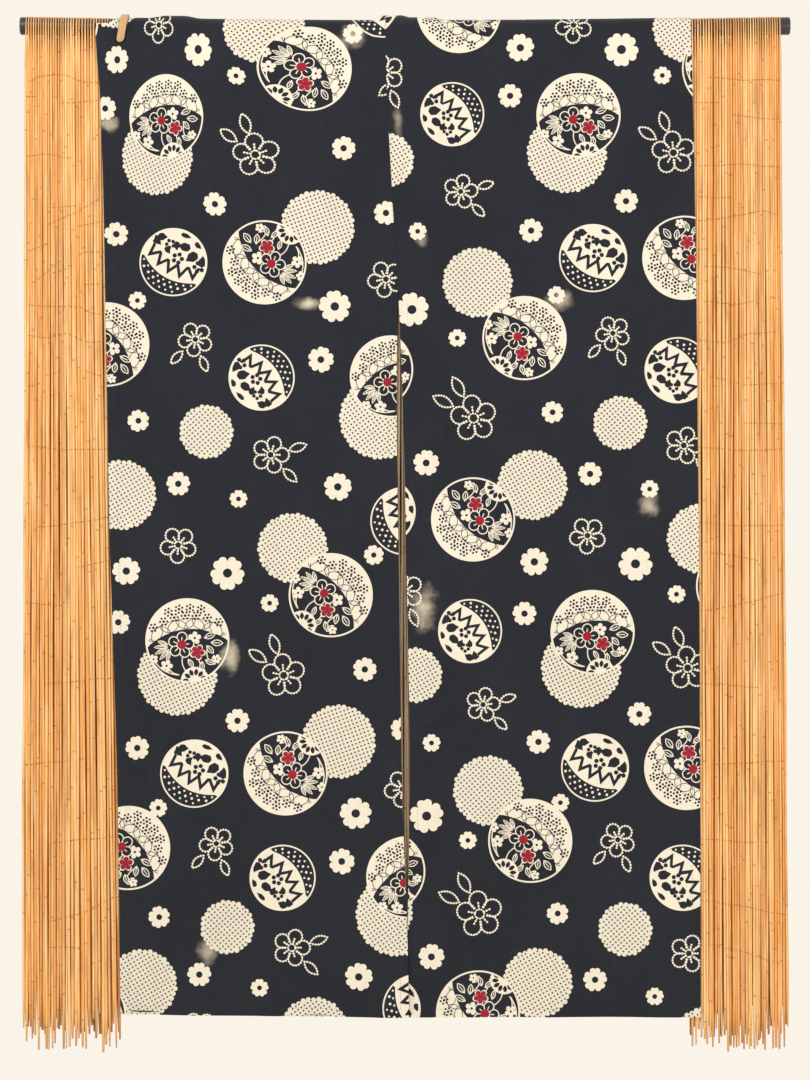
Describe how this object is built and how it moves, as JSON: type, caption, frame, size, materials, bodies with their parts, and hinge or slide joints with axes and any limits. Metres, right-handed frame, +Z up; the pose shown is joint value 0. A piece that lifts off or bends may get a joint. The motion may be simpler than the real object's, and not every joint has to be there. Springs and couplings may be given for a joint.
{
  "type": "noren curtain and rod",
  "caption": "Printed cloth door curtain with a centre slit, turned over a round rod, with split-reed screens hanging beside it and behind its slit, and a bent wooden clip at a corner.",
  "frame": {"origin": "on the rod's axis as it lies at its ends, midway between the two ends", "axes": "+X to the right along the rod, +Z up, the curtain's front faces -Y"},
  "size_m": [1.124, 0.0454, 1.5186],
  "materials": {
    "rod_black": "satin black enamel on a tube, worn a little on its rounded rims",
    "cloth": "plain-weave cotton dyed navy black, with a cream and crimson printed repeat, pressed creases and faint pale marks",
    "reed": "split dried reed, glossy straw to orange tan, with a fine grain and darker nodes",
    "reed_thread": "thin reddish-brown weaving thread, matt",
    "clip_wood": "bent light wood strip with a fine lengthwise grain, oiled"
  },
  "bodies": {
    "root": {"rod": "rod_black", "noren_panel_left": "cloth", "noren_panel_right": "cloth", "reed_screen_left": "reed", "reed_strip_middle": "reed", "reed_screen_right": "reed", "corner_clip": "clip_wood"}
  },
  "joints": []
}
